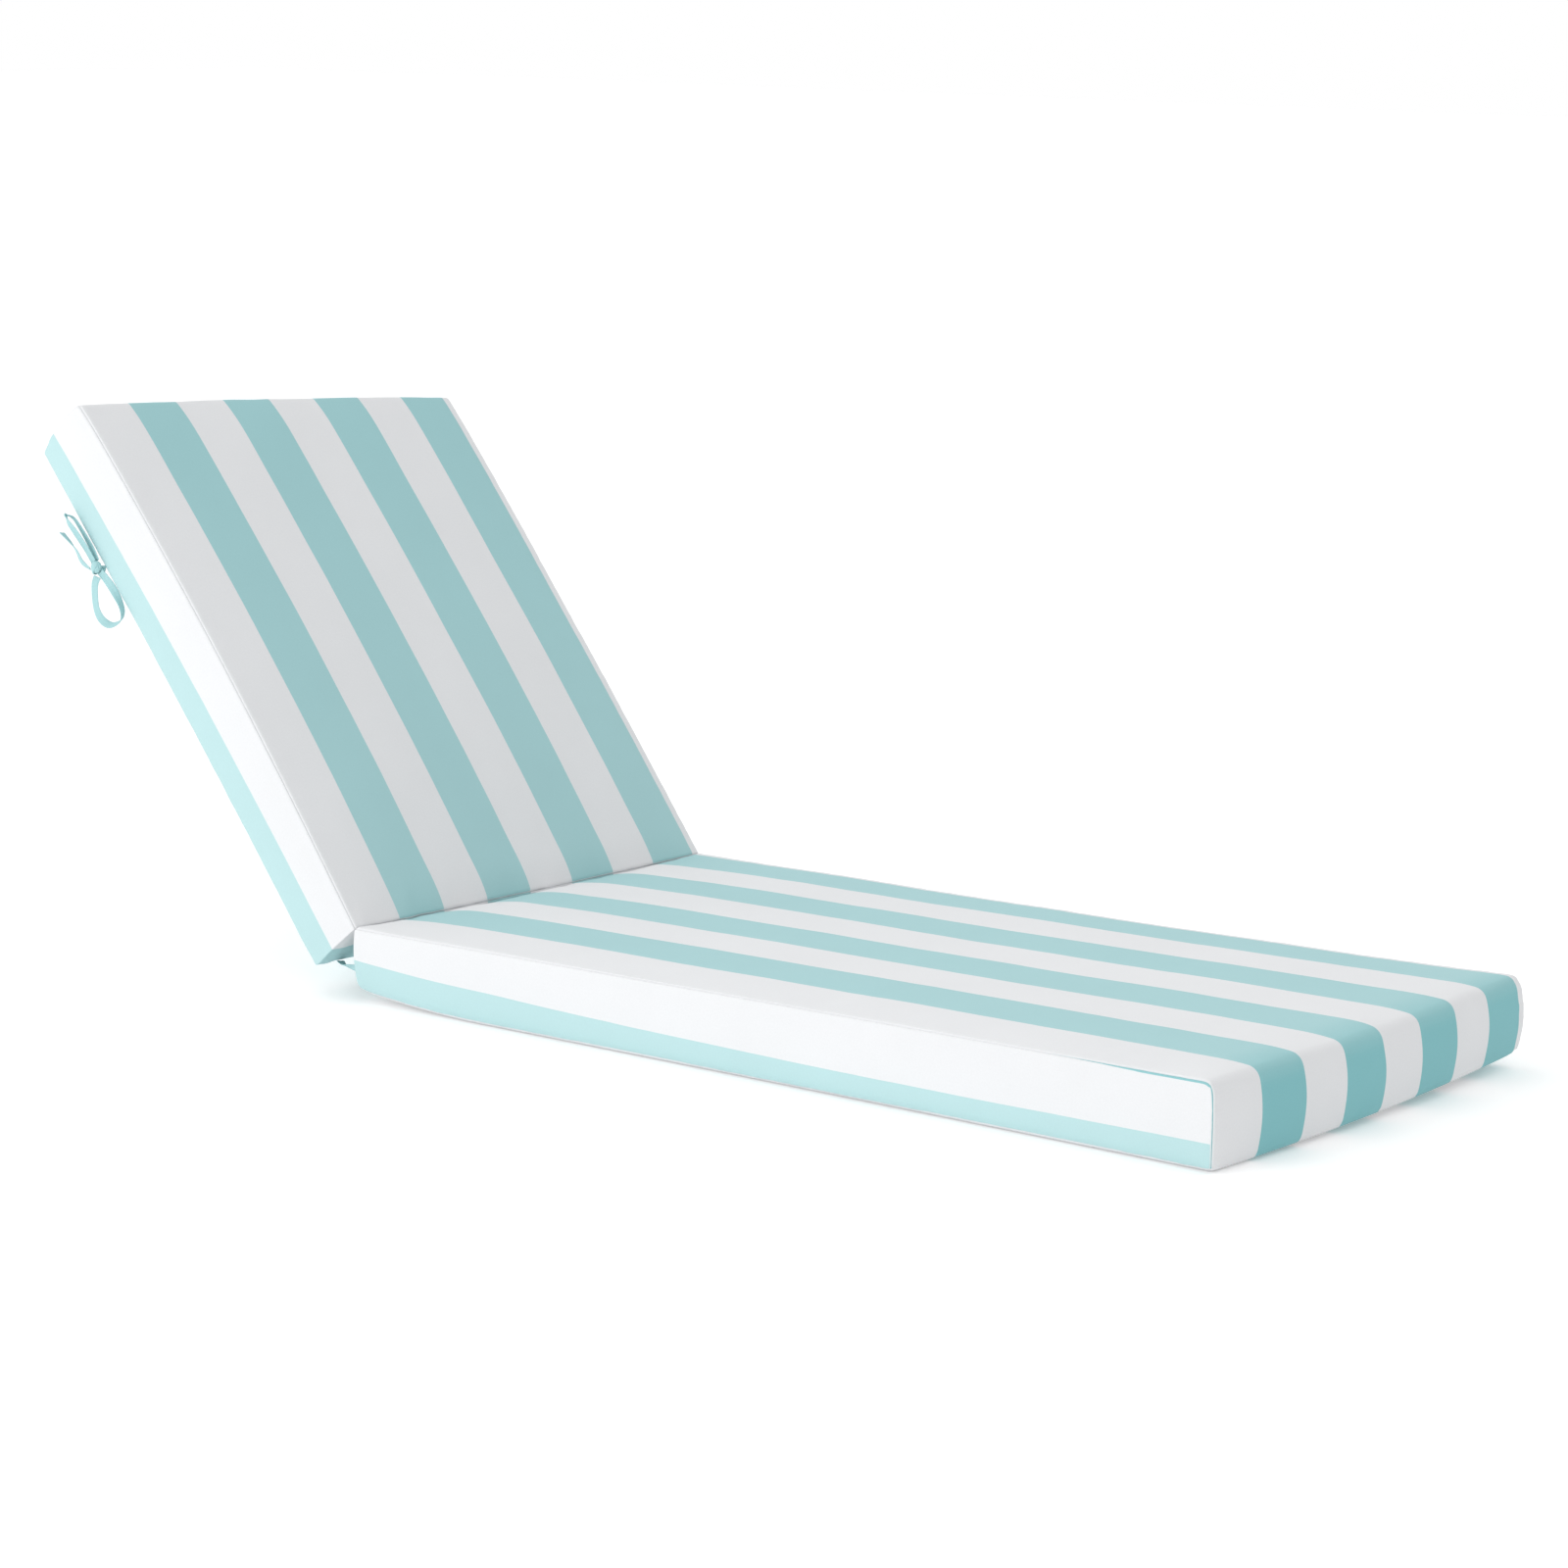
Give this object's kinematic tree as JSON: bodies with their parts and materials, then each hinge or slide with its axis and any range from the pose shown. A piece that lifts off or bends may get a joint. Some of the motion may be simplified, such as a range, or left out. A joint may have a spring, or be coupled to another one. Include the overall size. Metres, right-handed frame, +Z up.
{
  "type": "sun lounger cushion",
  "caption": "Hinged chaise cushion in lengthwise aqua and white stripes: a flat box seat pad, a raised back pad sewn to it at a crease, and a tape tie in a bow.",
  "frame": {"origin": "centre of the whole cushion's outline seen from above, on the surface that the seat pad lies on; the tie is left out", "axes": "+X along the seat towards the foot end, +Y across towards the far side, +Z up"},
  "size_m": [1.6192, 0.6213, 0.6257],
  "materials": {
    "striped_cover": "matte woven cloth, aqua and white stripes of equal width",
    "aqua_tape": "matte folded tape"
  },
  "bodies": {
    "root": {"seat_pad": "striped_cover", "back_pad": "striped_cover", "hinge_web": "striped_cover", "hinge_strap": "aqua_tape", "tie_knot": "aqua_tape", "tie_loop_upper": "aqua_tape", "tie_loop_lower": "aqua_tape", "tie_free_end": "aqua_tape"}
  },
  "joints": []
}
